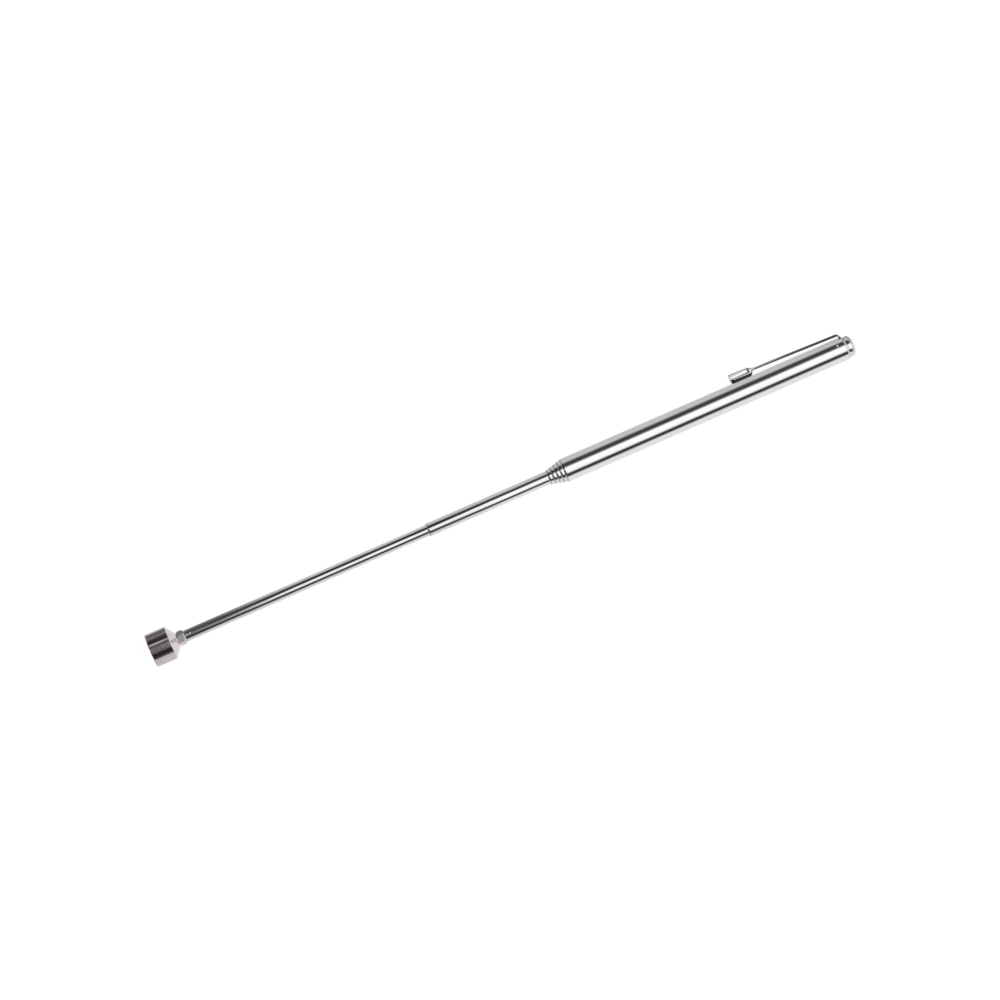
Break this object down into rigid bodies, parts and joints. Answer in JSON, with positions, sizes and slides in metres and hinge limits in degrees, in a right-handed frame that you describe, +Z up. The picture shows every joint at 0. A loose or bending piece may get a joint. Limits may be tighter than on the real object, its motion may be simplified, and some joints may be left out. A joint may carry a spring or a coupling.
{
  "type": "telescopic magnetic pick-up tool",
  "caption": "Pen-style telescopic pick-up tool: chromed nested tubes, pocket clip, domed end cap, and a cup magnet on a hexagonal coupling.",
  "frame": {"origin": "centre of the magnet's working face, at the tip of the tool", "axes": "+X along the tool from the magnet face to the end cap; the tool lies on its side with +Z up; +Y to the side the pocket clip is nearest to, the clip being turned 34 degrees up from +Y towards +Z"},
  "size_m": [0.2616, 0.0131, 0.0119],
  "materials": {
    "chromed_tube": "polished, nickel-chrome plated brass-steel tube",
    "chromed_cap": "polished",
    "plated_spring_steel": "polished spring steel",
    "polished_steel": "turned and plated",
    "chromed_cup": "turned and plated",
    "magnet_face": "ground nickel-plated magnet face",
    "potting_ring": "cured resin",
    "brass_plug": "plain",
    "bronze_sleeve": "plain"
  },
  "bodies": {
    "barrel": {"barrel": "chromed_tube", "end_cap": "chromed_cap"},
    "pocket_clip": {"pocket_clip": "plated_spring_steel"},
    "sleeve_1": {"friction_sleeve_1": "bronze_sleeve"},
    "section_1": {"section_1": "chromed_tube", "tail_plug_1": "brass_plug"},
    "sleeve_2": {"friction_sleeve_2": "bronze_sleeve"},
    "section_2": {"section_2": "chromed_tube", "tail_plug_2": "brass_plug"},
    "sleeve_3": {"friction_sleeve_3": "bronze_sleeve"},
    "section_3": {"section_3": "chromed_tube", "tail_plug_3": "brass_plug"},
    "sleeve_4": {"friction_sleeve_4": "bronze_sleeve"},
    "section_4": {"section_4": "chromed_tube", "tail_plug_4": "brass_plug"},
    "sleeve_5": {"friction_sleeve_5": "bronze_sleeve"},
    "section_5": {"section_5": "chromed_tube", "tail_plug_5": "brass_plug"},
    "sleeve_6": {"friction_sleeve_6": "bronze_sleeve"},
    "section_6": {"section_6": "chromed_tube", "hex_coupling": "polished_steel", "magnet_cup": "chromed_cup", "magnet": "magnet_face", "magnet_spacer": "potting_ring"}
  },
  "joints": [
    {"name": "clip_flex", "type": "hinge", "parent": "barrel", "child": "pocket_clip", "pos_m": [0.25739, 0.00348, 0.00235], "axis": [0, 0.5592, -0.829], "range_deg": [0, 4], "stiffness_Nm_per_rad": 1.5},
    {"name": "section_1_slide", "type": "slide", "parent": "barrel", "child": "sleeve_1", "axis": [-1, 0, 0], "range_m": [0, 0.08742]},
    {"name": "section_1_spin", "type": "hinge", "parent": "sleeve_1", "child": "section_1", "pos_m": [0.131, 0, 0], "axis": [-1, 0, 0], "continuous": true},
    {"name": "section_2_slide", "type": "slide", "parent": "section_1", "child": "sleeve_2", "axis": [-1, 0, 0], "range_m": [0, 0.08742]},
    {"name": "section_2_spin", "type": "hinge", "parent": "sleeve_2", "child": "section_2", "pos_m": [0.131, 0, 0], "axis": [-1, 0, 0], "continuous": true},
    {"name": "section_3_slide", "type": "slide", "parent": "section_2", "child": "sleeve_3", "axis": [-1, 0, 0], "range_m": [0, 0.08742]},
    {"name": "section_3_spin", "type": "hinge", "parent": "sleeve_3", "child": "section_3", "pos_m": [0.131, 0, 0], "axis": [-1, 0, 0], "continuous": true},
    {"name": "section_4_slide", "type": "slide", "parent": "section_3", "child": "sleeve_4", "axis": [-1, 0, 0], "range_m": [0, 0.08742]},
    {"name": "section_4_spin", "type": "hinge", "parent": "sleeve_4", "child": "section_4", "pos_m": [0.131, 0, 0], "axis": [-1, 0, 0], "continuous": true},
    {"name": "section_5_slide", "type": "slide", "parent": "section_4", "child": "sleeve_5", "axis": [-1, 0, 0], "range_m": [-0.04334, 0.04408]},
    {"name": "section_5_spin", "type": "hinge", "parent": "sleeve_5", "child": "section_5", "pos_m": [0.131, 0, 0], "axis": [-1, 0, 0], "continuous": true},
    {"name": "section_6_slide", "type": "slide", "parent": "section_5", "child": "sleeve_6", "axis": [-1, 0, 0], "range_m": [-0.08742, 0]},
    {"name": "section_6_spin", "type": "hinge", "parent": "sleeve_6", "child": "section_6", "pos_m": [0.131, 0, 0], "axis": [-1, 0, 0], "continuous": true}
  ]
}
